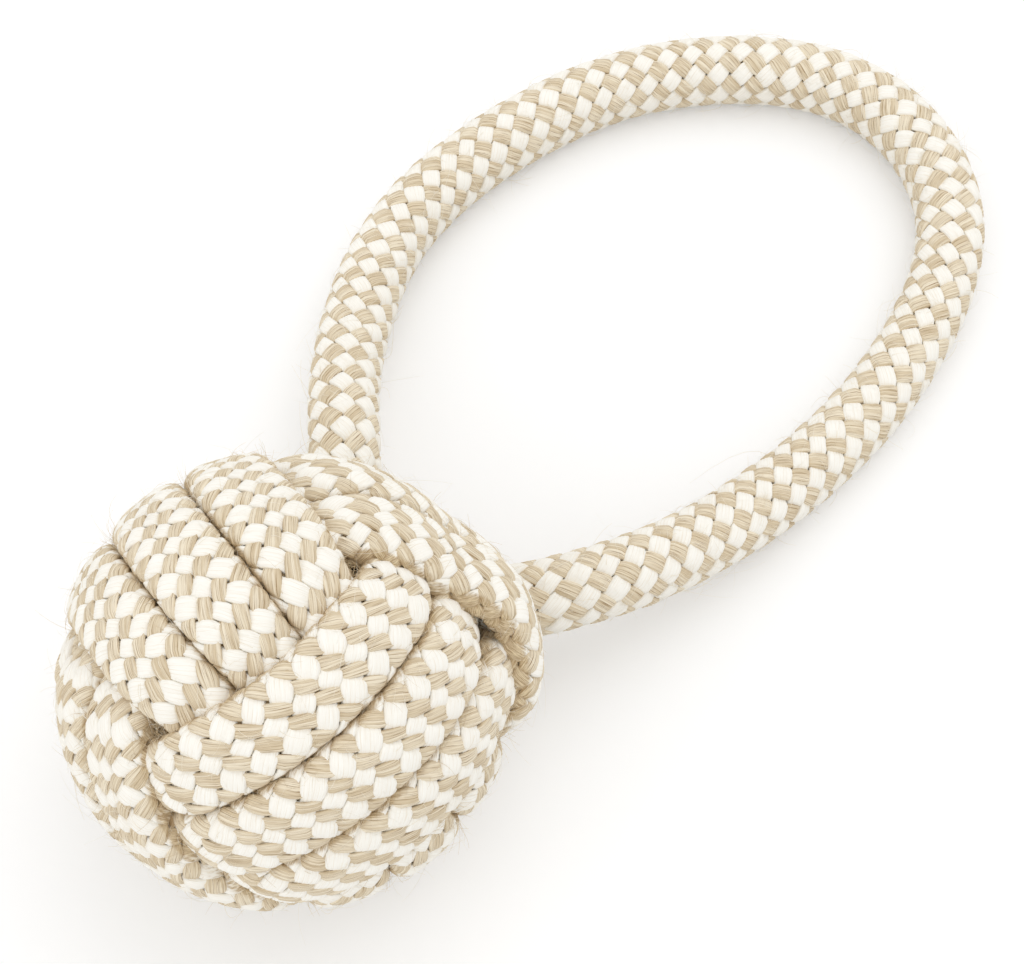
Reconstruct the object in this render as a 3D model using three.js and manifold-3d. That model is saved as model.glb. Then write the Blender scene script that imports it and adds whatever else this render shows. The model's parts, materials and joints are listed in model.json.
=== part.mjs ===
// A rope dog toy: one braided rope of cotton and hemp, wound into a ball of three sets of three
// turns, each set at right angles to the other two, and led out of the ball as one handle loop.
// Millimetres, +Z up. +X runs from the ball towards the far end of the handle and +Y to its left.
// The origin lies on the floor, below the middle of the whole toy.
import * as THREE from "three";
import { mergeVertices } from "three/addons/utils/BufferGeometryUtils.js";
import Module from "manifold-3d";

const wasm = await Module();
wasm.setup();

// Driving dimensions
const ballDiameter = 72;
const ropeDiameter = 12; // where the rope lies slack, in the handle and its two legs
const turnGap = 0.44; // between neighbouring turns of one set
const touchGap = 0.3; // between two pieces that touch
const hingeStandOff = 5.5; // from the ball's side to the line where the legs bend

const ballRadius = ballDiameter / 2;
const ropeRadius = ropeDiameter / 2;

// How the ball is turned on the floor, in degrees: the handle leaves it near the first axis
const ballYaw = -11.4;
const ballPitch = -12.6;
const ballRoll = -38;

// One set of turns, in shares of the ball's radius. A turn goes over the ball at two crowns and
// under the next set at two tucks, where the rope is squeezed thinner and closer together.
const facePitchShare = 0.3083; // from row to row over a crown
const tuckPitchShare = 0.2225; // from row to row under a tuck
const faceThicknessShare = 0.28;
const tuckThicknessShare = 0.2145;
const middleTurnShares = { crown: 0.83, tuck: 0.487, crownFlatness: 0.076, tuckFlatness: 0.069 };
const outerTurnShares = { crown: 0.77, tuck: 0.4505, crownFlatness: 0.056, tuckFlatness: 0.178 };
const facePitch = ballRadius * facePitchShare;
const tuckPitch = ballRadius * tuckPitchShare;

// The winding: three turns a set, each step to the next row hidden in a tuck
const turnCount = 3;
const stepsPerTurn = 24;
const stepShare = 0.1; // of a turn, on each side of the middle of the tuck
const endShare = 0.09; // of a turn, left off each end of a set
const probesPerSide = 3; // where the least gap is measured, on each side of the section

// A cord is cut flat where it lies on the floor
const flatCutShare = 0.1;
const ropeFlat = ropeDiameter * flatCutShare;
const turnFlat = ballRadius * faceThicknessShare * flatCutShare;

// The handle's middle line, from the left leg round to the right one: forward of the line where
// the legs bend, left of the ball's middle, and above the height at which the rope lies
const handleRoute = [
  [0, 29.2, 11],
  [9.3, 37.8, 7.8],
  [17.2, 43.4, 5.4],
  [25.4, 48.2, 3.4],
  [33.6, 51.8, 1.9],
  [42.2, 54.1, 0.8],
  [51.2, 54.9, 0.2],
  [60, 54.2, 0],
  [68, 52.7, 0],
  [75.5, 50.5, 0],
  [82.6, 48, 0],
  [89.4, 44.6, 0],
  [96, 40.2, 0],
  [102.2, 34.8, 0],
  [107.8, 28.3, 0],
  [112.6, 20.5, 0],
  [115.3, 11.5, 0],
  [115, 1.8, 0],
  [111.6, -7.6, 0],
  [105.8, -15.2, 0],
  [98.6, -20.4, 0],
  [90.8, -23.8, 0],
  [82.6, -26, 0],
  [74, -27.4, 0],
  [65.5, -28, 0],
  [57.8, -27.9, 0],
  [51, -27.4, 0.3],
  [44.8, -26.7, 1],
  [38.4, -25.8, 2],
  [32, -24.6, 3.3],
  [25.2, -23, 5],
  [18, -20.9, 7],
  [11, -18.2, 9],
  [5, -15.1, 10.4],
  [0, -12.1, 11],
];
const handleSteps = 48;
const ropeSides = 12;
const endSphereBands = 8;

// Where the two legs come out between the turns, in shares of the ball's radius from its middle
const leftRootShares = [0.75, 0.42, -0.47];
const rightRootShares = [0.72, -0.05, -0.5];
const legSetbackShare = 0.47; // of the rope's diameter, from a leg's end to where the rope bends

// The tail: the rope's first end, rolled up tight in the hollow of the ball
const tailFacets = 16;
const tailFillShare = 0.97; // of the hollow's radius

const lieHeight = ropeRadius - ropeFlat;
const hingeReach = ballRadius + hingeStandOff;

// Colours of the cotton and hemp rope, outside and in the shade of the ball
const ropeColour = 0xe9ddc6;
const tailColour = 0xcdb68c;

function ropeMaterial(color) {
  return new THREE.MeshStandardMaterial({ color, roughness: 0.95, metalness: 0 });
}

// Manifold solids and three.js geometries

function toSolid(geometry) {
  const bare = geometry.index ? geometry.toNonIndexed() : geometry.clone();
  for (const name of Object.keys(bare.attributes)) {
    if (name !== "position") bare.deleteAttribute(name);
  }
  const merged = mergeVertices(bare);
  return new wasm.Manifold(
    new wasm.Mesh({
      numProp: 3,
      vertProperties: merged.attributes.position.array,
      triVerts: new Uint32Array(merged.index.array),
    }),
  );
}

function toGeometry(solid) {
  const { numProp, vertProperties, triVerts } = solid.getMesh();
  const positions = new Float32Array((vertProperties.length / numProp) * 3);
  for (let vertex = 0; vertex < positions.length / 3; vertex++) {
    positions.set(vertProperties.subarray(vertex * numProp, vertex * numProp + 3), vertex * 3);
  }
  const geometry = new THREE.BufferGeometry();
  geometry.setAttribute("position", new THREE.BufferAttribute(positions, 3));
  geometry.setIndex(new THREE.BufferAttribute(new Uint32Array(triVerts), 1));
  geometry.computeVertexNormals();
  return geometry;
}

function largestBody(solid) {
  return solid.decompose().reduce((best, body) => (body.volume() > best.volume() ? body : best));
}

// Everything below a height, in the frame of a mesh that lies in the given place
function floorSlab(height, size, place) {
  const slab = new THREE.BoxGeometry(size, size, size);
  slab.translate(0, 0, height - size / 2);
  slab.applyMatrix4(place.clone().invert());
  return toSolid(slab);
}

// The winding of one set, in its own frame: X across the rows, Y towards the tucks, Z outwards

function rowAt(turn) {
  let row = -1;
  for (const whole of [1, 2]) {
    row += THREE.MathUtils.smoothstep(turn, whole - stepShare, whole + stepShare);
  }
  return row;
}

// The middle of the rope after a number of turns, and how deep it is in a tuck, from 0 to 1
function turnPoint(turn) {
  const angle = (turn + 1 / 4) * 2 * Math.PI;
  const row = rowAt(turn);
  const share = (name) =>
    THREE.MathUtils.lerp(middleTurnShares[name], outerTurnShares[name], Math.abs(row));
  const out = (Math.cos(angle) - share("crownFlatness") * Math.cos(3 * angle)) /
    (1 - share("crownFlatness"));
  const aside = (Math.sin(angle) + share("tuckFlatness") * Math.sin(3 * angle)) /
    (1 - share("tuckFlatness"));
  const tucked = Math.sin(angle) ** 2;
  const middle = new THREE.Vector3(
    row * THREE.MathUtils.lerp(facePitch, tuckPitch, tucked),
    ballRadius * share("tuck") * aside,
    ballRadius * share("crown") * out,
  );
  return { middle, tucked };
}

// The rope's six-sided section there: its width lies across the set and its thickness outwards
function turnRing(turn, swell) {
  const nearby = 1 / (stepsPerTurn * 100);
  const { middle, tucked } = turnPoint(turn);
  const along = turnPoint(turn + nearby).middle.sub(turnPoint(turn - nearby).middle);
  const run = Math.hypot(along.y, along.z);
  const outwards = new THREE.Vector3(0, along.z, -along.y).divideScalar(run);
  if (outwards.dot(middle) < 0) outwards.negate();
  const slant = Math.cos(Math.atan2(along.x, run));
  const pitch = THREE.MathUtils.lerp(facePitch, tuckPitch, tucked);
  const halfWidth = (pitch * slant - turnGap) / 2 + swell;
  const thicknessShare = THREE.MathUtils.lerp(faceThicknessShare, tuckThicknessShare, tucked);
  const halfThickness = (ballRadius * thicknessShare) / 2 + swell;
  const corners = [[1, 0], [1 / 2, 1], [-1 / 2, 1], [-1, 0], [-1 / 2, -1], [1 / 2, -1]];
  return corners.map(([across, up]) =>
    middle
      .clone()
      .addScaledVector(new THREE.Vector3(1, 0, 0), across * halfWidth)
      .addScaledVector(outwards, up * halfThickness),
  );
}

function windingRings(swell) {
  const steps = Math.round(stepsPerTurn * (turnCount - 2 * endShare));
  const rings = [];
  for (let step = 0; step <= steps; step++) {
    const turn = THREE.MathUtils.lerp(endShare, turnCount - endShare, step / steps);
    rings.push(turnRing(turn, swell));
  }
  return rings;
}

// A closed tube through rings of points
function tubeThrough(rings) {
  const sides = rings[0].length;
  const positions = rings.flat().flatMap((point) => point.toArray());
  const faces = [];
  for (let ring = 0; ring < rings.length - 1; ring++) {
    for (let side = 0; side < sides; side++) {
      const here = ring * sides + side;
      const next = ring * sides + ((side + 1) % sides);
      faces.push(here, next + sides, next, here, here + sides, next + sides);
    }
  }
  const last = (rings.length - 1) * sides;
  for (let side = 1; side < sides - 1; side++) {
    faces.push(0, side, side + 1, last, last + side + 1, last + side);
  }
  const tube = new THREE.BufferGeometry();
  tube.setAttribute("position", new THREE.Float32BufferAttribute(positions, 3));
  tube.setIndex(faces);
  tube.computeVertexNormals();
  return tube;
}

// The least distance between points of the tube that lie over a quarter of a turn apart
function leastGapToItself(rings) {
  const apart = stepsPerTurn / 4;
  const probes = [];
  rings.slice(0, -1).forEach((ring, step) => {
    const nextRing = rings[step + 1];
    ring.forEach((point, side) => {
      const nextSide = (side + 1) % ring.length;
      for (let part = 0; part < probesPerSide ** 2; part++) {
        const along = Math.floor(part / probesPerSide) / probesPerSide;
        const round = (part % probesPerSide) / probesPerSide;
        const here = point.clone().lerp(ring[nextSide], round);
        const ahead = nextRing[side].clone().lerp(nextRing[nextSide], round);
        probes.push({ step: step + along, point: here.lerp(ahead, along) });
      }
    });
  });
  let least = Infinity;
  for (const one of probes) {
    for (const other of probes) {
      if (other.step - one.step > apart) {
        least = Math.min(least, one.point.distanceTo(other.point));
      }
    }
  }
  return least;
}

// The scene: the toy holds the ball, and the ball holds the three sets, each a third of a turn
// about the ball's corner from the one before

const toy = new THREE.Group();
const ball = new THREE.Group();
const degrees = THREE.MathUtils.degToRad;
ball.rotation.set(degrees(ballRoll), degrees(ballPitch), degrees(ballYaw), "ZYX");
toy.add(ball);

const corner = new THREE.Vector3(1, 1, 1).normalize();
const setNames = ["first_turns", "second_turns", "third_turns"];
const rings = windingRings(0);
const sets = setNames.map((name, index) => {
  const set = new THREE.Mesh(tubeThrough(rings), ropeMaterial(ropeColour));
  set.name = name;
  set.quaternion.setFromAxisAngle(corner, (-index * 2 * Math.PI) / turnCount);
  ball.add(set);
  return set;
});
const leastGap = leastGapToItself(rings).toFixed(2);
for (const name of setNames) console.log(`${name}: least gap to itself ${leastGap} mm`);

// The ball stands on its lowest turns, cut flat there
toy.updateMatrixWorld(true);
const lowest = new THREE.Box3().setFromObject(ball, true).min.z;
ball.position.z = -lowest - turnFlat;
toy.updateMatrixWorld(true);
for (const set of sets) {
  const slab = floorSlab(0, 2 * ballDiameter, set.matrixWorld);
  set.geometry = toGeometry(toSolid(set.geometry).subtract(slab));
}

// The tail fills the hollow between the tucks
const hollowRadius = Math.min(...rings.flat().map((point) => point.length()));
const tailRadius = hollowRadius * tailFillShare;
const tail = new THREE.Mesh(
  new THREE.SphereGeometry(tailRadius, tailFacets, tailFacets / 2),
  ropeMaterial(tailColour),
);
tail.name = "rolled_tail";
ball.add(tail);

// The legs: short stretches that the turns hold, up to where the rope bends

function ropeSection(diameter) {
  const section = new THREE.Shape();
  section.absarc(0, 0, diameter / 2, 0, 2 * Math.PI);
  return new THREE.Shape(section.getSpacedPoints(ropeSides).slice(0, -1));
}

function ropeAlong(path, steps) {
  return new THREE.ExtrudeGeometry(ropeSection(ropeDiameter), { extrudePath: path, steps });
}

function ropeEnd(place, radius) {
  const sphere = new THREE.SphereGeometry(radius, ropeSides, endSphereBands);
  sphere.translate(place.x, place.y, place.z);
  return toSolid(sphere);
}

const route = handleRoute.map(
  ([forward, left, rise]) => new THREE.Vector3(hingeReach + forward, left, lieHeight + rise),
);
const ends = { left: route[0], right: route[route.length - 1] };
const swollenTurns = sets.map((set) =>
  toSolid(tubeThrough(windingRings(touchGap)).applyMatrix4(set.matrixWorld)),
);

function leg(name, rootShares, bend) {
  const root = new THREE.Vector3(...rootShares).multiplyScalar(ballRadius).add(ball.position);
  const setback = ropeDiameter * legSetbackShare;
  const outerEnd = bend.clone().add(root.clone().sub(bend).setLength(setback));
  let solid = toSolid(ropeAlong(new THREE.LineCurve3(root, outerEnd), 1));
  solid = solid.subtract(ropeEnd(bend, ropeRadius + touchGap));
  for (const turns of swollenTurns) solid = solid.subtract(turns);
  const mesh = new THREE.Mesh(toGeometry(largestBody(solid)), ropeMaterial(ropeColour));
  mesh.name = name;
  toy.add(mesh);
}

leg("left_leg", leftRootShares, ends.left);
leg("right_leg", rightRootShares, ends.right);

// The handle loop, with a round end where each leg bends and a flat where it lies
const handlePath = new THREE.CatmullRomCurve3(route, false, "centripetal");
const handleSolid = toSolid(ropeAlong(handlePath, handleSteps))
  .add(ropeEnd(ends.left, ropeRadius))
  .add(ropeEnd(ends.right, ropeRadius))
  .subtract(floorSlab(0, 2 * handlePath.getLength(), new THREE.Matrix4()));
const handle = new THREE.Mesh(toGeometry(handleSolid), ropeMaterial(ropeColour));
handle.name = "handle_loop";
toy.add(handle);

// The origin goes to the floor below the middle of the whole toy
const part = new THREE.Group();
part.add(toy);
part.updateMatrixWorld(true);
const middle = new THREE.Box3().setFromObject(part, true).getCenter(new THREE.Vector3());
toy.position.set(-middle.x, -middle.y, 0);

export default part;
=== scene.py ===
"""A rope dog toy on a pale floor: one braided rope, wound into a ball and led out as a handle loop.

Lengths are in metres, in the toy's own frame: +Z up, +X from the ball towards the far end of the
handle, and the origin on the floor below the middle of the toy.
"""
import itertools
import json
import math

import bpy
import numpy as np
from mathutils import Matrix, Vector


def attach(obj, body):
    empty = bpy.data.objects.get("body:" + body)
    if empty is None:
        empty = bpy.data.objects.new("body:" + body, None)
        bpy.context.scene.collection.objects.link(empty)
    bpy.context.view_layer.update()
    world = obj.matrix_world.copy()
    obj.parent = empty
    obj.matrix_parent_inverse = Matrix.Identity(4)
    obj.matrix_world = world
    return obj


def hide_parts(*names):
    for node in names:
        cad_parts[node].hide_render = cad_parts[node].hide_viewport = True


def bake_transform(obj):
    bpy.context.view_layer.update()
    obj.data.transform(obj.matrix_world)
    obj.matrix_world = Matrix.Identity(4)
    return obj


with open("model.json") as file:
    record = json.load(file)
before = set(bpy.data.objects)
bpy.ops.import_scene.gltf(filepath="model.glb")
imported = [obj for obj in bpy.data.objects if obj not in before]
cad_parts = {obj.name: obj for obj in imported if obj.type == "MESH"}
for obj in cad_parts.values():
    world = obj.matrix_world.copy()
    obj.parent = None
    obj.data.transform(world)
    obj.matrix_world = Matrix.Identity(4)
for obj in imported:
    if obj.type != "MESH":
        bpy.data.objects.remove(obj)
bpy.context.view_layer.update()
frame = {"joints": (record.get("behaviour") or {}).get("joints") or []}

MM = 0.001

# The rope, whose section is an oval at a squareness of 2 and nearer a rectangle above that
ROPE_RADIUS = 6 * MM
BALL_SQUARENESS = 2.8
HANDLE_SQUARENESS = 2.15
HANDLE_CELL = 4.5 * MM  # along the rope, from one strand of a colour to the next

# The ball, with its turns as in the part but lying a little closer
BALL_RADIUS = 36 * MM
BALL_YAW, BALL_PITCH, BALL_ROLL = -11.4, -12.6, -38  # in degrees
BALL_SEAT = (0.6 * MM, 2.7 * MM, 33.8 * MM)  # its middle, from the floor below that of the part's ball
TURNS = 3
FACE_PITCH = 0.336 * BALL_RADIUS  # from one turn to the next over a face of the ball, and in a tuck
TUCK_PITCH = 0.25 * BALL_RADIUS
MIDDLE_TURN_SHARES = {"crown": 0.842, "tuck": 0.64}  # of the ball's radius, for the rope's middle
OUTER_TURN_SHARES = {"crown": 0.771, "tuck": 0.6}
DIVE_START, DIVE_END = math.radians(37), math.radians(72)  # from the middle of a crown
GATHER_START, GATHER_END = math.radians(22), math.radians(76)  # where the turns draw together
FACE_SIZE = (6.5 * MM, 3.4 * MM)  # half the rope's width and thickness over a face, and in a tuck
TUCK_SIZE = (5.0 * MM, 3.7 * MM)
START_SHARE = 0.25  # of a turn past the middle of a crown, where a set of turns starts and ends
STEP_SHARE = 0.1  # of a turn, before and after the place where the rope steps over to its next row
END_SHARE = 0.065  # of a turn, in which a set's end goes down into the ball
END_DEPTH_SHARE = 0.5
SET_POINTS = 3000  # on the middle line of a set of turns
SET_NAMES = ["first_turns", "second_turns", "third_turns"]
SET_CELLS = [4.65 * MM, 5.1 * MM, 4.9 * MM]  # of each set's braid
SET_SKEWS = [0.15, 0.3, 0.2]  # the lead that each set's braid has on one side of the rope

# Where the turns beside the handle's right leg stand out of the ball's round
BULGE = 4.1 * MM
BULGE_SIDE = np.array([0.787, -0.606, 0.113])  # from the ball's middle
BULGE_WHOLE, BULGE_END = math.radians(8), math.radians(32)  # away from that side

# The rope's first end, which is rolled up in the hollow of the ball
TAIL_RADIUS = 5.5 * MM
TAIL_REACH = 16.5 * MM  # of its middle line from the ball's
TAIL_RISE = 25  # degrees from the ball's top and bottom at which it starts and ends
TAIL_TURNS = 3.6
TAIL_POINTS = 900

# The handle's middle line, in millimetres: ahead of the hinge, left of the ball's middle, and up
# from where the handle lies on the floor
HANDLE_ROUTE = [
    (0, 29.2, 11), (9.3, 37.8, 7.8), (17.2, 43.4, 5.4), (25.4, 48.2, 3.4), (33.6, 51.8, 1.9),
    (42.2, 54.1, 0.8), (51.2, 54.9, 0.2), (60, 54.2, 0), (68, 52.7, 0), (75.5, 50.5, 0),
    (82.6, 48, 0), (89.4, 44.6, 0), (96, 40.2, 0), (102.2, 34.8, 0), (107.8, 28.3, 0),
    (112.6, 20.5, 0), (115.3, 11.5, 0), (115, 1.8, 0), (111.6, -7.6, 0), (105.8, -15.2, 0),
    (98.6, -20.4, 0), (90.8, -23.8, 0), (82.6, -26, 0), (74, -27.4, 0), (65.5, -28, 0),
    (57.8, -27.9, 0), (51, -27.4, 0.3), (44.8, -26.7, 1), (38.4, -25.8, 2), (32, -24.6, 3.3),
    (25.2, -23, 5), (18, -20.9, 7), (11, -18.2, 9), (5, -15.1, 10.4), (0, -12.1, 11),
]
HINGE_REACH = 41.5 * MM  # of the hinge from the middle of the part's ball
HINGE_RISE = 11 * MM  # of the route where it meets the hinge
LIE_HEIGHT = 5.5 * MM  # of the middle line where the handle lies on the floor
LEFT_ROOT_SHARES = (0.75, 0.42, -0.47)  # of the ball's radius, where each leg goes into the ball
RIGHT_ROOT_SHARES = (0.72, -0.05, -0.5)
ROOT_DEPTH_SHARE = 0.5
LINE_STEP = 0.25 * MM
LINE_EASE = 24  # steps each way over which the line's bends are evened out


def unit(vectors):
    return vectors / np.linalg.norm(vectors, axis=-1, keepdims=True)


def smoothstep(value, low, high):
    share = np.clip((value - low) / (high - low), 0, 1)
    return share * share * (3 - 2 * share)


def lerp(first, last, share):
    return first + (last - first) * share


def running_length(steps):
    return np.concatenate([[0], np.cumsum(steps)])


# Places that the part's frame gives

hinge = Vector(frame["joints"][0]["pos_m"])
route_middle = (HANDLE_ROUTE[0][1] + HANDLE_ROUTE[-1][1]) / 2 * MM
toy_place = np.array([hinge.x - HINGE_REACH, hinge.y - route_middle, 0])
ball_middle = toy_place + np.array(BALL_SEAT)


# Camera

VIEW_TURN = math.radians(50)  # from the picture's right to the toy's +X
VIEW_RISE = math.radians(62)  # of the camera above the floor
VIEW_DISTANCE = 444.5 * MM
VIEW_TARGET = Vector((-3.5 * MM, -3.3 * MM, 0))  # on the floor, in the middle of the picture
FOCAL_LENGTH = 94.5  # in millimetres, as a camera has it
SENSOR_WIDTH = 36

camera_right = Vector((math.cos(VIEW_TURN), -math.sin(VIEW_TURN), 0))
camera_ahead = Vector((math.sin(VIEW_TURN), math.cos(VIEW_TURN), 0))


def add_camera():
    data = bpy.data.cameras.new("view")
    data.lens = FOCAL_LENGTH
    data.sensor_width = SENSOR_WIDTH
    camera = bpy.data.objects.new("view", data)
    bpy.context.scene.collection.objects.link(camera)
    look = camera_ahead * math.cos(VIEW_RISE) - Vector((0, 0, math.sin(VIEW_RISE)))
    camera.location = VIEW_TARGET - look * VIEW_DISTANCE
    camera.rotation_euler = look.to_track_quat("-Z", "Y").to_euler()
    bpy.context.scene.camera = camera


add_camera()


# Shader maths

MIX_SHARE, MIX_FIRST, MIX_SECOND, MIX_RESULT = 0, 6, 7, 2  # sockets of a Mix node for colours


class Socket:
    """A number that a shader node puts out."""

    def __init__(self, finish, socket):
        self.finish, self.socket = finish, socket

    def maths(self, operation, *values):
        return self.finish.node("ShaderNodeMath", {"operation": operation}, values)

    def __add__(self, other):
        return self.maths("ADD", self, other)

    def __radd__(self, other):
        return self.maths("ADD", other, self)

    def __sub__(self, other):
        return self.maths("SUBTRACT", self, other)

    def __rsub__(self, other):
        return self.maths("SUBTRACT", other, self)

    def __mul__(self, other):
        return self.maths("MULTIPLY", self, other)

    def __rmul__(self, other):
        return self.maths("MULTIPLY", other, self)

    def __pow__(self, other):
        return self.maths("POWER", self, other)

    def __rpow__(self, other):
        return self.maths("POWER", other, self)

    def __abs__(self):
        return self.maths("ABSOLUTE", self)


class Finish:
    """A material, and the nodes that it is made of."""

    def __init__(self, name, **settings):
        self.material = bpy.data.materials.new(name)
        self.material.use_nodes = True
        self.tree = self.material.node_tree
        self.shader = self.tree.nodes["Principled BSDF"]
        for socket, value in settings.items():
            self.shader.inputs[socket.replace("_", " ")].default_value = value

    def node(self, kind, settings, values, output=0):
        """Adds a node with its settings, then gives its sockets their values or links."""
        node = self.tree.nodes.new(kind)
        for name, value in settings.items():
            setattr(node, name, value)
        named = values.items() if isinstance(values, dict) else enumerate(values)
        for place, value in named:
            self.feed(node.inputs[place], value)
        return Socket(self, node.outputs[output])

    def feed(self, target, value):
        if isinstance(value, Socket):
            self.tree.links.new(value.socket, target)
        else:
            target.default_value = value

    def vector(self, x, y, z):
        return self.node("ShaderNodeCombineXYZ", {}, [x, y, z])

    def noise(self, place, detail, scale=1):
        values = {"Vector": place, "Scale": scale, "Detail": detail}
        return self.node("ShaderNodeTexNoise", {"noise_dimensions": "3D"}, values)

    def mix(self, share, first, second):
        """A colour between two others."""
        values = {MIX_SHARE: share, MIX_FIRST: first, MIX_SECOND: second}
        return self.node("ShaderNodeMix", {"data_type": "RGBA"}, values, MIX_RESULT)

    def ramp(self, value, low, high):
        """A smooth rise from 0 to 1 as the value goes from low to high."""
        values = {"Value": value, "From Min": low, "From Max": high}
        return self.node("ShaderNodeMapRange", {"interpolation_type": "SMOOTHSTEP"}, values)


def colour(red, green, blue):
    """A colour as a shader takes it, from the shares of red, green and blue that a screen shows."""
    def linear(share):
        return share / 12.92 if share <= 0.04045 else ((share + 0.055) / 1.055) ** 2.4
    return (linear(red), linear(green), linear(blue), 1)


# Yarns

YARN_MAP = "Yarns"  # millimetres along a strand, and yarns across it
BAKE_MAP = "OFBake"
GROOVE = "Groove"  # 1 where the rope's side lies in a groove, full of loose fibres and darkened there with painted shade
# The light and dark brown of a groove: partly its loose fibres, partly painted shade
GROOVE_FUZZ_AND_SHADE_COLOURS = colour(0.9, 0.83, 0.69), colour(0.66, 0.55, 0.4)
PATCHES_PER_METRE = 110  # of thicker and thinner fuzz and painted shade in the grooves
PATCH_WEIGHT, TUFT_WEIGHT = 2.4, 1.6  # of the wide and the fine unevenness of that fuzz and painted shade
MOST_COVERED_BY_FUZZ_AND_SHADE = 0.95  # of a yarn, by that fuzz and painted shade
SEAM_SHADE_WEIGHT, SEAM_SHADE_POWER = 0.13, 4  # how dark the painted shade along the seam between two yarns is, and how narrow
PLIES_PER_MILLIMETRE = 1.1
PLY_SLANT = 0.9  # plies that each ply slants by across its yarn
PLY_WEIGHT, STREAK_WEIGHT = 0.15, 0.5  # in the relief, next to the fibres' 1


class YarnFinish(Finish):
    """Spun yarn, laid out by the yarn map: fibres along it, plies, and painted shade along the seams
    between yarns.
    """

    def __init__(self, name, body, light, dark, contrast):
        super().__init__(name, Roughness=0.95)
        place = self.node("ShaderNodeUVMap", {"uv_map": YARN_MAP}, [])
        self.along = self.node("ShaderNodeSeparateXYZ", {}, [place], "X")
        self.across = self.node("ShaderNodeSeparateXYZ", {}, [place], "Y")
        self.yarn = self.node("ShaderNodeMath", {"operation": "FLOOR"}, [self.across])
        self.side = self.across - self.yarn
        self.streaks = self.grain(self.across, per_millimetre=0.12, per_yarn=2.6, layer=9, detail=2)
        self.fibres = self.grain(self.across, per_millimetre=0.3, per_yarn=7.5, layer=3, detail=3)
        clean = self.clean_colour(body, light, dark, contrast)
        self.feed(self.shader.inputs["Base Color"], self.fuzz_and_shade_colour(clean))
        relief = {"Strength": 0.3, "Distance": 0.15 * MM, "Height": self.height()}
        self.feed(self.shader.inputs["Normal"], self.node("ShaderNodeBump", {}, relief))

    def grain(self, across, per_millimetre, per_yarn, layer, detail):
        """Noise drawn out along the yarns, with so many changes each way."""
        place = self.vector(self.along * per_millimetre, across * per_yarn, layer)
        return self.noise(place, detail)

    def clean_colour(self, body, light, dark, contrast):
        """Each yarn in a tone of its own, with dark lines between its fibres, and painted shade along its
        seams.
        """
        tone = self.grain(self.yarn, per_millimetre=0.06, per_yarn=7.3, layer=0, detail=2)
        shaded = self.mix(self.ramp(tone * 0.5 + self.streaks * 0.5, low=0.4, high=0.6), body, light)
        # Painted shade: the yarns darken towards their seams, where the valleys between them lie in shade
        seam = abs(self.side - 0.5) * 2
        lines = self.ramp(self.fibres + seam ** SEAM_SHADE_POWER * SEAM_SHADE_WEIGHT, low=0.54, high=0.74)
        # The dark colour serves both the fibres' lines and the painted seam shade
        return self.mix(lines * contrast, shaded, dark)

    def fuzz_and_shade_colour(self, clean):
        """The clean colour, hidden in patches in a groove by loose fibres and by painted shade."""
        groove = self.node("ShaderNodeAttribute", {"attribute_name": GROOVE}, [], "Fac")
        tufts = self.grain(self.across, per_millimetre=0.9, per_yarn=1.3, layer=17, detail=3)
        place = self.node("ShaderNodeTexCoord", {}, [], "Object")
        patches = self.noise(place, detail=1, scale=PATCHES_PER_METRE)
        # Painted shade, together with loose fibres: the yarns turn brown in patches deep in a groove
        fuzz = groove * (patches * PATCH_WEIGHT + tufts * TUFT_WEIGHT - 1)
        hairs = self.ramp(self.fibres * 0.7 + tufts * 0.3, low=0.4, high=0.6)
        hidden = self.ramp(fuzz, low=0.35, high=1.05) * MOST_COVERED_BY_FUZZ_AND_SHADE
        return self.mix(hidden, clean, self.mix(hairs, *GROOVE_FUZZ_AND_SHADE_COLOURS))

    def height(self):
        """The relief of the plies, the fibres and the streaks."""
        ply = (self.along * PLIES_PER_MILLIMETRE + self.side * PLY_SLANT) * 2 * math.pi
        plies = self.node("ShaderNodeMath", {"operation": "SINE"}, [ply])
        return plies * PLY_WEIGHT + self.fibres + self.streaks * STREAK_WEIGHT


cotton = YarnFinish(
    "cotton_yarn", body=colour(0.97, 0.955, 0.92), light=colour(0.98, 0.97, 0.94),
    dark=colour(0.9, 0.85, 0.76), contrast=0.6).material
hemp = YarnFinish(
    "hemp_yarn", body=colour(0.83, 0.76, 0.64), light=colour(0.93, 0.885, 0.795),
    dark=colour(0.57, 0.45, 0.3), contrast=0.95).material
core = Finish("rope_core", Base_Color=colour(0.84, 0.75, 0.6), Roughness=1).material
cotton_fibre = Finish("cotton_fibre", Base_Color=colour(0.96, 0.94, 0.89), Roughness=0.9).material
hemp_fibre = Finish("hemp_fibre", Base_Color=colour(0.92, 0.87, 0.76), Roughness=0.9).material
groove_fibre = Finish("groove_fibre", Base_Color=colour(0.83, 0.75, 0.61), Roughness=1).material


# Rope

SWELLS = 6  # slow waves in how evenly a rope's braid lies
SWELL = 0.12 * MM  # spread of their sizes
SWELL_LENGTH = (16 * MM, 45 * MM)
MOST_SWELL_TURNS = 2  # of a wave round the rope, either way
OVAL = 2  # the squareness of an oval
FACE_SHIFT = 0.84  # how much the strands of a flattened rope draw in to its two faces
CORNER_SHIFT = 0.03  # how much those of a squarer rope draw in to its corners


def random_swell(random):
    """A wave's sizes ahead and aside, its turns per metre and round the rope, and its two starts."""
    sizes = random.normal(0, SWELL, 2)
    waves = 2 * np.pi / random.uniform(*SWELL_LENGTH)
    turns = random.integers(-MOST_SWELL_TURNS, MOST_SWELL_TURNS + 1)
    return sizes, waves, turns, random.uniform(0, 2 * np.pi, 2)


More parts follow.
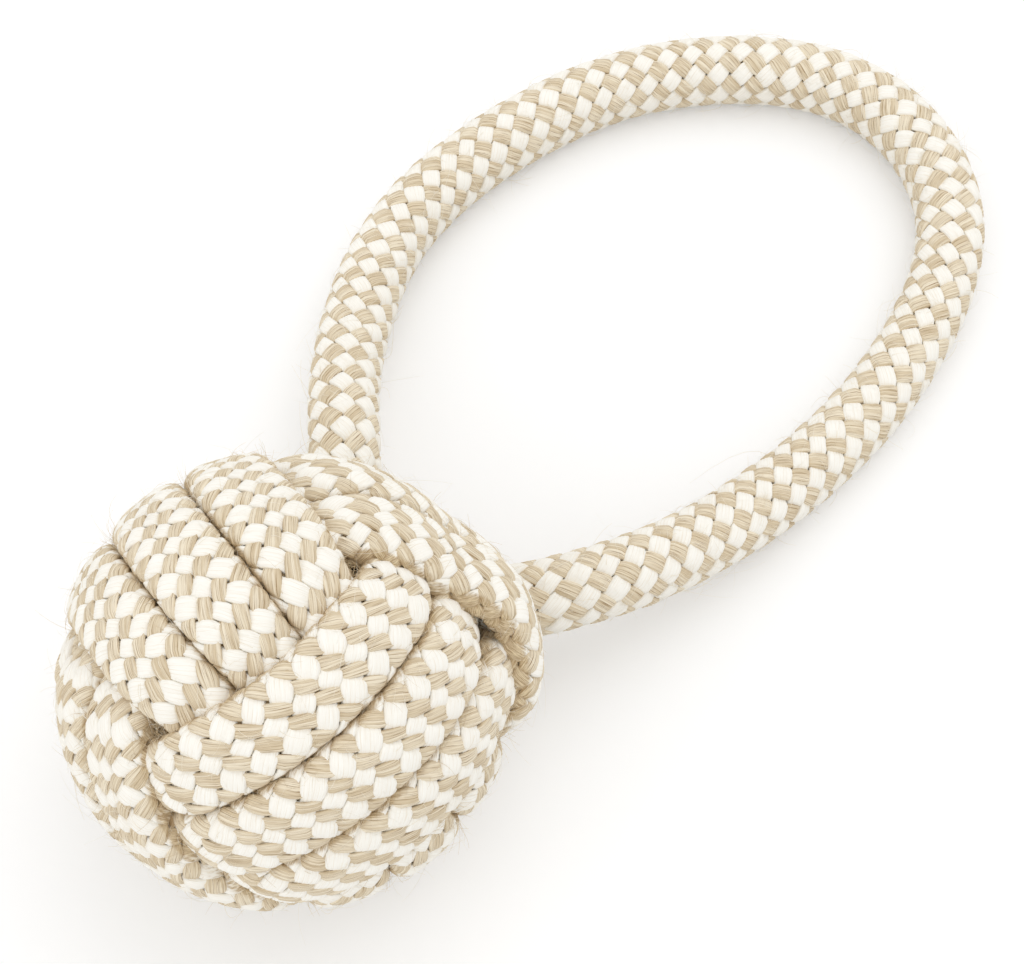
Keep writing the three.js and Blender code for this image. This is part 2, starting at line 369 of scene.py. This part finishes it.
class Rope:
    """A stretch of rope: its middle line, its section, and how unevenly its braid lies.

    Each point of the line has the direction that the rope's outer face looks in, and half the rope's
    width and thickness. Lengths along the rope are those of the measured line, which is the outer
    side of a rope on the ball.
    """

    def __init__(self, middles, outwards, half_sizes, measured, squareness, cell, seed, skew=0):
        random = np.random.default_rng(seed)
        self.swells = [random_swell(random) for _ in range(SWELLS)]
        self.squareness, self.cell, self.skew = squareness, cell, skew
        self.lengths = running_length(np.linalg.norm(np.diff(measured, axis=0), axis=1))
        self.length = self.lengths[-1]
        along = unit(np.gradient(middles, axis=0))
        across = unit(np.cross(along, outwards))
        self.table = np.concatenate([middles, across, np.cross(across, along), half_sizes], axis=1)

    def at(self, along):
        """The middle, the two directions of the section and its two half sizes."""
        columns = [np.interp(along, self.lengths, column) for column in self.table.T]
        middle, across, outwards = (np.stack(columns[i : i + 3], axis=-1) for i in (0, 3, 6))
        return middle, unit(across), unit(outwards), columns[9], columns[10]

    def settled(self, along, around):
        """Where a point of an even braid really lies, as its strands crowd and spread."""
        ahead, aside = self.skew * ROPE_RADIUS * np.cos(around), 0
        for sizes, waves, turns, starts in self.swells:
            ahead = ahead + sizes[0] * np.sin(waves * along + turns * around + starts[0])
            aside = aside + sizes[1] * np.sin(waves * along + turns * around + starts[1])
        return np.clip(along + ahead, 0, self.length), around + aside / ROPE_RADIUS

    def surface(self, along, around, depth):
        """A point so far along, at an angle around, and so deep below the section's outline."""
        along, around = self.settled(along, around)
        middle, across, outwards, half_width, half_thickness = self.at(along)
        flatness = (half_width - half_thickness) / (half_width + half_thickness)
        to_faces = FACE_SHIFT * flatness * np.sin(2 * around)
        to_corners = CORNER_SHIFT * (self.squareness - OVAL) * np.sin(4 * around)
        around = around + to_faces + to_corners
        side, up = np.cos(around), np.sin(around)
        power = self.squareness
        reach = (abs(side) ** power + abs(up) ** power) ** (-1 / power)
        side, up = side * reach, up * reach
        tilt = np.hypot(side / half_width, up / half_thickness)
        x = side * half_width - depth * side / half_width / tilt
        y = up * half_thickness - depth * up / half_thickness / tilt
        return middle + across * x[..., None] + outwards * y[..., None]


def turn_rope(rotation, cell, skew, seed):
    """The three turns of a set side by side on the ball, as one rope."""
    turn = np.linspace(0, TURNS, SET_POINTS)
    angle = (turn + START_SHARE) * 2 * np.pi
    row = -1 + sum(smoothstep(turn, step - STEP_SHARE, step + STEP_SHARE) for step in range(1, TURNS))
    crown, tuck = (
        lerp(MIDDLE_TURN_SHARES[place], OUTER_TURN_SHARES[place], abs(row)) for place in ("crown", "tuck"))
    past_crown = np.arcsin(np.abs(np.sin(angle)))
    radius = BALL_RADIUS * lerp(crown, tuck, smoothstep(past_crown, DIVE_START, DIVE_END))
    gathered = smoothstep(past_crown, GATHER_START, GATHER_END)
    aside = row * lerp(FACE_PITCH, TUCK_PITCH, gathered)
    middles = np.stack([aside, radius * np.sin(angle), radius * np.cos(angle)], axis=1)
    held = smoothstep(np.minimum(turn, TURNS - turn), 0, END_SHARE)
    middles = (middles * lerp(END_DEPTH_SHARE, 1, held)[:, None]) @ np.array(rotation).T
    outwards = unit(middles)
    near = smoothstep(outwards @ BULGE_SIDE, math.cos(BULGE_END), math.cos(BULGE_WHOLE))
    middles = ball_middle + middles + BULGE * near[:, None] * BULGE_SIDE
    half_sizes = lerp(np.array(FACE_SIZE), np.array(TUCK_SIZE), gathered[:, None])
    outer_side = middles + outwards * half_sizes[:, 1:]
    return Rope(middles, outwards, half_sizes, outer_side, BALL_SQUARENESS, cell, seed, skew)


def ball_rotations():
    """How each of the three sets is turned: by a third about a corner from the one before."""
    ball = (
        Matrix.Rotation(math.radians(BALL_YAW), 3, "Z")
        @ Matrix.Rotation(math.radians(BALL_PITCH), 3, "Y")
        @ Matrix.Rotation(math.radians(BALL_ROLL), 3, "X")
    )
    corner = Vector((1, 1, 1))
    return [ball @ Matrix.Rotation(-index * 2 * math.pi / 3, 3, corner) for index in range(3)]


def spline(points, step):
    """Points close together on a smooth curve through the given ones."""
    points = np.concatenate([[2 * points[0] - points[1]], points, [2 * points[-1] - points[-2]]])
    knots = running_length(np.linalg.norm(np.diff(points, axis=0), axis=1) ** 0.5)
    pieces = []
    for i in range(1, len(points) - 2):
        marks = knots[i - 1 : i + 3]
        count = max(2, round(np.linalg.norm(points[i + 1] - points[i]) / step))
        at = np.linspace(marks[1], marks[2], count, endpoint=False)[:, None]

        def between(first, last, low, high):
            return (first * (marks[high] - at) + last * (at - marks[low])) / (marks[high] - marks[low])

        near = [between(points[i - 1 + k], points[i + k], k, k + 1) for k in range(3)]
        far = [between(near[k], near[k + 1], k, k + 2) for k in range(2)]
        pieces.append(between(far[0], far[1], 1, 2))
    return np.concatenate([*pieces, points[-2:-1]])


def eased(line, reach):
    """The line with its small unevenness taken out over so many points each way."""
    weights = np.hanning(2 * reach + 3)[1:-1]
    weights /= weights.sum()
    ahead = 2 * line[0] - line[reach:0:-1]
    behind = 2 * line[-1] - line[-2 : -reach - 2 : -1]
    padded = np.concatenate([ahead, line, behind])
    return np.stack([np.convolve(column, weights, mode="valid") for column in padded.T], axis=1)


def round_rope(line, outwards, radius):
    """A rope of one size all along its line."""
    half_sizes = np.full((len(line), 2), radius)
    return Rope(line, outwards, half_sizes, line, HANDLE_SQUARENESS, HANDLE_CELL, seed=1)


def handle_rope():
    """The handle and its two legs, from inside the ball and back into it."""
    points = []
    for forward, left, rise in HANDLE_ROUTE:
        height = lerp(LIE_HEIGHT, hinge.z, rise * MM / HINGE_RISE)
        points.append(toy_place + np.array([HINGE_REACH + forward * MM, left * MM, height]))
    roots = [ball_middle + BALL_RADIUS * np.array(root) for root in (LEFT_ROOT_SHARES, RIGHT_ROOT_SHARES)]
    inner = [lerp(ball_middle, root, ROOT_DEPTH_SHARE) for root in roots]
    line = spline(np.array([inner[0], roots[0], *points, roots[1], inner[1]]), LINE_STEP)
    line = eased(line, LINE_EASE)
    return round_rope(line, np.tile([0.0, 0.0, 1.0], (len(line), 1)), ROPE_RADIUS)


def tail_rope():
    """The rope's first end, rolled up in the hollow of the ball."""
    turn = np.linspace(0, 1, TAIL_POINTS)
    rise = np.radians(lerp(TAIL_RISE, 180 - TAIL_RISE, turn))
    yaw = turn * TAIL_TURNS * 2 * np.pi
    outwards = np.stack([np.sin(rise) * np.cos(yaw), np.sin(rise) * np.sin(yaw), np.cos(rise)], axis=1)
    return round_rope(ball_middle + outwards * TAIL_REACH, outwards, TAIL_RADIUS)


# Braid: eight strands each way, each over one and under one

STRANDS = 8
FINE_STEPS = 8  # rings in a cell where the strand is seen
COARSE_EVERY = 4  # one ring in so many is kept where it is hidden
RISE = 0.4 * MM  # of a strand over and under the middle of the braid
SHARPNESS = 2.5  # of that rise
RING_CROWDING = 0.03  # of the rings, to where the strand rises and falls
MEAN_DEPTH = 1.1 * MM  # of a strand's middle below the rope's outline
OVER_SWELL = 0.05  # share by which a strand is wider where it goes over
UNEVEN_WIDTH_SHARE = 0.07
UNEVEN_DEPTH = 0.06 * MM
KNOT_STEP = 0.5  # of a cell, from one change of a strand's width and depth to the next
BACK_POWER = 8  # how flat a strand's back is before it falls away at its edges
FOOT_SHARE = 0.55  # of a strand's width that its flat underside has
GROOVE_TOP = math.sin(math.radians(29))  # up from the rope's side, where its fuzz and painted shade start
GROOVE_SIDE = math.sin(math.radians(6))  # and where they are full
YARNS_APART = 5  # on the yarn map, beside the yarns of each strand
ROW_MARGIN = 0.04  # beside each strand's stretches on the bake map
MAP_EDGE = 0.002  # at both ends of them
FLOOR_SOFTNESS = 0.3 * MM  # height below which the floor presses a strand
CORE_SIDES = 12
CORE_STEP = 2.5 * MM
CORE_DEPTH_SHARE = 0.26  # of the rope's mean half size, below its outline


class Lay:
    """How the strands of one colour run.

    The hand is 1 or -1 for the way they wind, over_at is where in a cell they go over, and the width
    shares are of the room that a strand has. A seam between two yarns is cut so deep.
    """

    def __init__(self, name, hand, over_at, width_shares, thickness, yarns, seam, finish):
        self.name, self.hand, self.over_at, self.width_shares = name, hand, over_at, width_shares
        self.thickness, self.yarns, self.seam, self.finish = thickness, yarns, seam, finish


COTTON_LAY = Lay(
    "cotton", hand=1, over_at=0.0, width_shares={"ball": 1.0, "handle": 0.98}, thickness=1.2 * MM,
    yarns=6, seam=0.06 * MM, finish=cotton)
HEMP_LAY = Lay(
    "hemp", hand=-1, over_at=0.5, width_shares={"ball": 0.89, "handle": 0.93}, thickness=1.15 * MM,
    yarns=5, seam=0.07 * MM, finish=hemp)


def strand_section(lay):
    """Across and up from a strand's middle to each point of its section, a rounded ridge for each yarn."""
    edge = np.linspace(-1, 1, 2 * lay.yarns + 1)
    back = np.sqrt(1 - np.abs(edge) ** BACK_POWER) * lay.thickness / 2
    back[::2] -= lay.seam
    across = np.concatenate([edge, [FOOT_SHARE, -FOOT_SHARE]])
    return across, np.concatenate([back, [-lay.thickness / 2] * 2])


def strand_line(rope, lay, number, seen):
    """Where the rings of one strand come, with fewer of them where it isn't seen.

    Gives for each ring how many cells along and at what angle round the rope it is, how far over (1)
    or under (-1), how deep, and the rope's mean half size there.
    """
    count = int(rope.length / rope.cell * FINE_STEPS)
    phase = np.arange(count + 1) / FINE_STEPS
    phase += RING_CROWDING * np.sin(4 * np.pi * (phase - lay.over_at))
    phase[0] = 0
    around = 2 * np.pi * (number + lay.hand * phase) / STRANDS
    middle, _, _, half_width, half_thickness = rope.at(phase * rope.cell)
    radius = (half_width + half_thickness) / 2
    wave = np.tanh(SHARPNESS * np.cos(2 * np.pi * (phase - lay.over_at))) / math.tanh(SHARPNESS)
    depth = (MEAN_DEPTH - RISE * wave) * (radius / ROPE_RADIUS)
    points = rope.surface(phase * rope.cell, around, depth)
    keep = seen(points, unit(points - middle)) | (np.arange(count + 1) % COARSE_EVERY == 0)
    keep[[0, -1]] = True
    return (values[keep] for values in (phase, around, wave, depth, radius))


def strand_rings(rope, lay, number, width_share, seen, random):
    """The rings of one strand, how far along it each lies, and how far into a groove their points do."""
    phase, around, wave, depth, radius = strand_line(rope, lay, number, seen)
    lane = (radius - depth) * 2 * np.pi / STRANDS  # round the rope, from one strand to the next
    run = np.hypot(lane, rope.cell)  # of the strand, in a cell
    knots = np.arange(0, int(rope.length / rope.cell) + 1 + KNOT_STEP, KNOT_STEP)
    uneven_width = np.interp(phase, knots, random.normal(0, UNEVEN_WIDTH_SHARE, len(knots)))
    uneven_depth = np.interp(phase, knots, random.normal(0, UNEVEN_DEPTH, len(knots)))
    half = lane * rope.cell / run * width_share / 2 * (1 + OVER_SWELL * wave) * (1 + uneven_width)

    across, height = strand_section(lay)
    offset = half[:, None] * across
    ring_along = (phase * rope.cell)[:, None] - lay.hand * offset * (lane / run)[:, None]
    ring_around = around[:, None] + offset * (rope.cell / run / (radius - depth))[:, None]
    ring_depth = (depth - uneven_depth)[:, None] - height * (radius / ROPE_RADIUS)[:, None]
    rings = rope.surface(np.clip(ring_along, 0, rope.length), ring_around, ring_depth)
    lengths = running_length(np.diff(phase) * (run[1:] + run[:-1]) / 2)
    return rings, lengths, smoothstep(np.sin(ring_around), GROOVE_TOP, GROOVE_SIDE)


def rest_on_floor(points):
    """Presses whatever would reach below the floor flat against it."""
    points[..., 2] = FLOOR_SOFTNESS * np.logaddexp(0, points[..., 2] / FLOOR_SOFTNESS)
    return points


def wall_corners(rings, sides):
    """The ring and the side of each of the four corners of every wall of a tube."""
    ring, side = np.meshgrid(np.arange(rings - 1), np.arange(sides), indexing="ij")
    return ring.reshape(-1, 1) + [0, 1, 1, 0], side.reshape(-1, 1) + [0, 0, 1, 1]


def tube_faces(rings, sides):
    """The faces of a tube through so many rings: its walls, and one for each end."""
    ring, side = wall_corners(rings, sides)
    walls = ring * sides + side % sides
    return walls, np.arange(sides), np.arange(rings * sides - 1, (rings - 1) * sides - 1, -1)


def strand_maps(lengths, sides, number, folds):
    """Each face corner's place on the yarn map and on the bake map, in the order of tube_faces.

    On the bake map a strand lies in so many folds, one beside the other.
    """
    last = len(lengths) - 1
    per_fold = math.ceil(last / folds)
    rings, around = wall_corners(len(lengths), sides)
    fold = rings[:, :1] // per_fold * np.ones(4)
    share = rings / per_fold - fold
    end = np.arange(sides)
    rings = np.concatenate([rings.ravel(), np.repeat([0, last], sides)])
    around = np.concatenate([around.ravel(), end, end[::-1]])
    fold = np.concatenate([fold.ravel(), np.zeros(2 * sides)])
    share = np.concatenate([share.ravel(), np.repeat([0, 1], sides)])
    yarns = np.stack([lengths[rings] / MM, around / 2 + number * (sides + YARNS_APART)], axis=1)
    row = number * folds + fold + lerp(ROW_MARGIN, 1 - ROW_MARGIN, around / sides)
    return yarns, np.stack([lerp(MAP_EDGE, 1 - MAP_EDGE, share), row / (STRANDS * folds)], axis=1)


def add_piece(name, points, faces, finish):
    mesh = bpy.data.meshes.new(name)
    mesh.from_pydata(points, [], faces)
    mesh.materials.append(finish)
    mesh.polygons.foreach_set("use_smooth", [True] * len(mesh.polygons))
    piece = bpy.data.objects.new(name, mesh)
    bpy.context.scene.collection.objects.link(piece)
    return piece


def braid(name, rope, lay, place, seen, seed, folds):
    """All the strands of one colour along a stretch of rope, as one piece."""
    random = np.random.default_rng(seed)
    points, faces, grooves, yarn_places, bake_places = [], [], [], [], []
    start = 0
    for number in range(STRANDS):
        rings, lengths, groove = strand_rings(rope, lay, number, lay.width_shares[place], seen, random)
        count, sides = rings.shape[:2]
        walls, first_end, last_end = tube_faces(count, sides)
        points.append(rest_on_floor(rings.reshape(-1, 3)))
        # Only the ball's grooves take the fuzz and painted shade
        grooves.append(groove.ravel() * (place == "ball"))
        faces += [*(walls + start).tolist(), (first_end + start).tolist(), (last_end + start).tolist()]
        start += count * sides
        yarns, bakes = strand_maps(lengths, sides, number, folds)
        yarn_places.append(yarns)
        bake_places.append(bakes)
    piece = add_piece(name, np.concatenate(points), faces, lay.finish)
    layer = piece.data.attributes.new(GROOVE, "FLOAT", "POINT")
    layer.data.foreach_set("value", np.concatenate(grooves).astype(np.float32))
    for map_name, places in ((YARN_MAP, yarn_places), (BAKE_MAP, bake_places)):
        layer = piece.data.uv_layers.new(name=map_name)
        layer.data.foreach_set("uv", np.concatenate(places).astype(np.float32).ravel())
    return piece


def core_tube(name, rope):
    """The rope's filling, which shows between the strands only as shade."""
    along = np.linspace(0, rope.length, int(rope.length / CORE_STEP))
    around = np.linspace(0, 2 * np.pi, CORE_SIDES, endpoint=False)
    grid_along, grid_around = np.meshgrid(along, around, indexing="ij")
    _, _, _, half_width, half_thickness = rope.at(grid_along)
    depth = (half_width + half_thickness) / 2 * CORE_DEPTH_SHARE
    points = rope.surface(grid_along, grid_around, depth).reshape(-1, 3)
    walls, first_end, last_end = tube_faces(len(along), CORE_SIDES)
    faces = [*walls.tolist(), first_end.tolist(), last_end.tolist()]
    return add_piece(name, rest_on_floor(points), faces, core)


# Stray fibres

FIBRE_STEPS = 5
FIBRE_SIDES = 3
FIBRE_RADIUS = 0.03 * MM
FIBRE_TAPER = 0.6  # share of that radius which is gone at the tip
FIBRE_ROOT = 0.4 * MM  # below the rope's outline
FIBRE_SHAPE = 2.2  # of the gamma spread of their lengths
LONGEST_FIBRE = 8 * MM
FIBRE_RISE = (0.1, 0.9)  # at the root, for each length that a fibre runs along the rope
FIBRE_DROOP = (0.2, 1.1)  # share of that rise which is lost towards the tip
FIBRE_BEND = 0.5  # spread of their bends to the side
ROPE_END_SHARE = 0.01  # of a rope at each end, where no fibres are
PROBE = 0.2 * MM  # from a root to the places beside it that give its directions


class Fuzz:
    """Where stray fibres are rooted, in degrees up from both sides of a rope, and how long they are."""

    def __init__(self, low, high, spread):
        self.arc, self.spread = (math.radians(low), math.radians(high)), spread


STRAY = Fuzz(low=-90, high=90, spread=1.15 * MM)
IN_GROOVES = Fuzz(low=5, high=30, spread=0.75 * MM)


def fibre_roots(rope, fuzz, count, random):
    """Where so many fibres are rooted, and the directions along the rope, round it and out of it."""
    along = random.uniform(ROPE_END_SHARE, 1 - ROPE_END_SHARE, count) * rope.length
    around = random.uniform(*fuzz.arc, count)
    around = np.where(random.random(count) < 0.5, around, np.pi - around)
    root = rope.surface(along, around, FIBRE_ROOT)
    ahead = unit(rope.surface(along + PROBE, around, FIBRE_ROOT) - root)
    aside = rope.surface(along, around + PROBE / ROPE_RADIUS, FIBRE_ROOT) - root
    normal = unit(np.cross(aside, ahead))
    aside = np.cross(normal, ahead)
    normal *= np.sign((normal * (root - rope.at(along)[0])).sum(axis=1))[:, None]
    return root, ahead, aside, normal


def ring_angles():
    return np.arange(FIBRE_SIDES) * 2 * np.pi / FIBRE_SIDES


def fibre_rings(rope, fuzz, count, random):
    """The rings of so many stray fibres along a rope."""
    root, ahead, aside, normal = fibre_roots(rope, fuzz, count, random)
    turn = random.uniform(0, 2 * np.pi, count)[:, None]
    heading = np.cos(turn) * ahead + np.sin(turn) * aside
    side = np.cos(turn) * aside - np.sin(turn) * ahead
    length = np.minimum(random.gamma(FIBRE_SHAPE, fuzz.spread, count), LONGEST_FIBRE)[:, None, None]
    rise = random.uniform(*FIBRE_RISE, count)[:, None, None]
    droop = rise * random.uniform(*FIBRE_DROOP, count)[:, None, None]
    bend = random.normal(0, FIBRE_BEND, count)[:, None, None]
    share = np.linspace(0, 1, FIBRE_STEPS + 1)[None, :, None]
    line = root[:, None] + length * (
        share * heading[:, None] + (rise * share - droop * share**2) * normal[:, None]
        + bend * share**2 * side[:, None])
    corner = ring_angles()[:, None]
    circle = np.cos(corner) * side[:, None] + np.sin(corner) * normal[:, None]
    return line[:, :, None] + FIBRE_RADIUS * (1 - FIBRE_TAPER * share[..., None]) * circle[:, None]


def fibre_piece(name, rings, finish):
    """Fibres as one piece, each from rings of its own."""
    count, steps, sides = rings.shape[:3]
    starts = np.arange(count)[:, None, None] * steps * sides
    walls, first_end, last_end = tube_faces(steps, sides)
    faces = (walls + starts).reshape(-1, 4).tolist()
    for end in (first_end, last_end):
        faces += (end + starts).reshape(-1, sides).tolist()
    return add_piece(name, rest_on_floor(rings.reshape(-1, 3)), faces, finish)


def fibres(name, ropes, fuzz, count, seed, finish):
    """Stray fibres along some ropes, as one piece."""
    random = np.random.default_rng(seed)
    rings = [fibre_rings(rope, fuzz, count // len(ropes), random) for rope in ropes]
    return fibre_piece(name, np.concatenate(rings), finish)


# The handle comes first, because it is a free cord

HANDLE_HIDDEN_SHARE = 0.85  # of the ball's radius, within which the handle can't be seen


def seen_on_handle(points, normals):
    return np.linalg.norm(points - ball_middle, axis=-1) > HANDLE_HIDDEN_SHARE * BALL_RADIUS


def add_handle():
    rope = handle_rope()
    outer = braid("handle_cotton", rope, COTTON_LAY, "handle", seen_on_handle, seed=11, folds=2)
    others = [
        braid("handle_hemp", rope, HEMP_LAY, "handle", seen_on_handle, seed=12, folds=2),
        core_tube("handle_core", rope),
        fibres("handle_cotton_fibres", [rope], STRAY, count=2000, seed=62, finish=cotton_fibre),
        fibres("handle_hemp_fibres", [rope], STRAY, count=1000, seed=63, finish=hemp_fibre),
    ]
    for piece in [outer, *others]:
        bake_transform(piece)
    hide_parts("handle_loop", "left_leg", "right_leg")


add_handle()


# The ball

BALL_HIDDEN_SHARE = 0.6  # of the ball's radius, within which its turns can't be seen
LEAST_FACING = -0.2  # cosine of a side's angle from straight outwards, below which it can't be seen
ROPE_SEED, COTTON_SEED, HEMP_SEED = 51, 21, 31  # of the first set, and one more for each after it


def seen_on_ball(points, normals):
    """Whether a point of the ball can be seen from outside it."""
    away = points - ball_middle
    distance = np.linalg.norm(away, axis=-1)
    facing = (away * normals).sum(axis=-1) / distance
    return (distance > BALL_HIDDEN_SHARE * BALL_RADIUS) & (facing > LEAST_FACING)


def never_seen(points, normals):
    return np.zeros(len(points), bool)


def add_to_ball(pieces):
    for piece in pieces:
        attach(piece, "ball")


def add_sets():
    """The three sets of turns, which the function hands back as ropes."""
    ropes = []
    sets = zip(SET_NAMES, ball_rotations(), SET_CELLS, SET_SKEWS)
    for index, (name, rotation, cell, skew) in enumerate(sets):
        rope = turn_rope(rotation, cell, skew, seed=ROPE_SEED + index)
        stem = name.split("_")[0]
        pieces = [
            braid(f"{stem}_cotton", rope, COTTON_LAY, "ball", seen_on_ball, COTTON_SEED + index, folds=3),
            braid(f"{stem}_hemp", rope, HEMP_LAY, "ball", seen_on_ball, HEMP_SEED + index, folds=3),
            core_tube(f"{stem}_core", rope),
        ]
        add_to_ball(pieces)
        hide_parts(name)
        ropes.append(rope)
    return ropes


def add_tail():
    rope = tail_rope()
    pieces = [
        braid(f"tail_{lay.name}", rope, lay, "ball", never_seen, seed=41, folds=1)
        for lay in (COTTON_LAY, HEMP_LAY)
    ]
    pieces.append(core_tube("tail_core", rope))
    add_to_ball(pieces)
    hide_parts("rolled_tail")


MAT_DEPTH = 9.8 * MM  # of the middle of each mat, below the outside of the ball
MAT_RADIUS = (2.3 * MM, 3.5 * MM)  # of the arcs that its fibres make round that middle
MAT_FIBRES = 170
MAT_FIBRE_RADIUS = 0.09 * MM
MAT_FIBRE_STEPS = 8
MAT_FIBRE_ARC = math.radians(150)
MAT_SEED = 66


def mat_rings(middle, random):
    """The rings of the matted fibres in one hollow, which are arcs round its middle."""
    first, second = unit(random.normal(size=(2, MAT_FIBRES, 3)))
    third = unit(np.cross(first, second))
    second = np.cross(third, first)
    turn = np.linspace(0, MAT_FIBRE_ARC, MAT_FIBRE_STEPS + 1)[:, None]
    outwards = (np.cos(turn) * first[:, None] + np.sin(turn) * second[:, None])[:, :, None]
    corner = ring_angles()[:, None]
    circle = np.cos(corner) * outwards + np.sin(corner) * third[:, None, None]
    radius = random.uniform(*MAT_RADIUS, MAT_FIBRES)[:, None, None, None]
    return middle + radius * outwards + MAT_FIBRE_RADIUS * circle


def add_mats():
    """Matted fibres at the bottom of the eight hollows where three turns meet."""
    random = np.random.default_rng(MAT_SEED)
    ball = ball_rotations()[0]
    rings = []
    for corner in itertools.product((-1, 1), repeat=3):
        hollow = np.array(ball @ Vector(corner).normalized())
        rings.append(mat_rings(ball_middle + hollow * (BALL_RADIUS - MAT_DEPTH), random))
    return fibre_piece("hollow_fibres", np.concatenate(rings), groove_fibre)


set_ropes = add_sets()
add_tail()
add_to_ball([
    fibres("ball_cotton_fibres", set_ropes, STRAY, count=5400, seed=61, finish=cotton_fibre),
    fibres("ball_hemp_fibres", set_ropes, STRAY, count=3000, seed=64, finish=hemp_fibre),
    fibres("groove_fibres", set_ropes, IN_GROOVES, count=5400, seed=65, finish=groove_fibre),
    add_mats(),
])


# Floor, lights and world

FLOOR_SIZE = 6
FLOOR_COLOUR = (0.84, 0.84, 0.84, 1)
FLOOR_GLOW = (0.16, 0.16, 0.16, 1)  # which only the camera sees, to bring the floor up to white
BLACK, WHITE = (0, 0, 0, 1), (1, 1, 1, 1)
LAMP_SIZE = 1.2
WORLD_STRENGTH = 0.915


def add_floor():
    bpy.ops.mesh.primitive_plane_add(size=FLOOR_SIZE, location=(0, 0, 0))
    floor = bpy.context.object
    floor.name = "floor"
    finish = Finish("pale_floor", Base_Color=FLOOR_COLOUR, Roughness=1, Emission_Strength=1)
    camera_rays = finish.node("ShaderNodeLightPath", {}, [], "Is Camera Ray")
    finish.feed(finish.shader.inputs["Emission Color"], finish.mix(camera_rays, BLACK, FLOOR_GLOW))
    floor.data.materials.append(finish.material)


def add_lamp(name, right, ahead, up, energy):
    """A round lamp, placed as the camera sees it and turned towards the toy."""
    data = bpy.data.lights.new(name, "AREA")
    data.shape = "DISK"
    data.size = LAMP_SIZE
    data.energy = energy
    lamp = bpy.data.objects.new(name, data)
    bpy.context.scene.collection.objects.link(lamp)
    lamp.location = camera_right * right + camera_ahead * ahead + Vector((0, 0, up))
    lamp.rotation_euler = (-lamp.location).to_track_quat("-Z", "Y").to_euler()


def add_world():
    world = bpy.data.worlds.new("studio")
    world.use_nodes = True
    background = world.node_tree.nodes["Background"]
    background.inputs["Color"].default_value = WHITE
    background.inputs["Strength"].default_value = WORLD_STRENGTH
    bpy.context.scene.world = world


add_floor()
add_lamp("key", right=0.35, ahead=0.4, up=1, energy=2.5)
add_lamp("fill", right=-0.7, ahead=-0.7, up=0.6, energy=2)
add_world()
bpy.context.scene.view_settings.view_transform = "Standard"
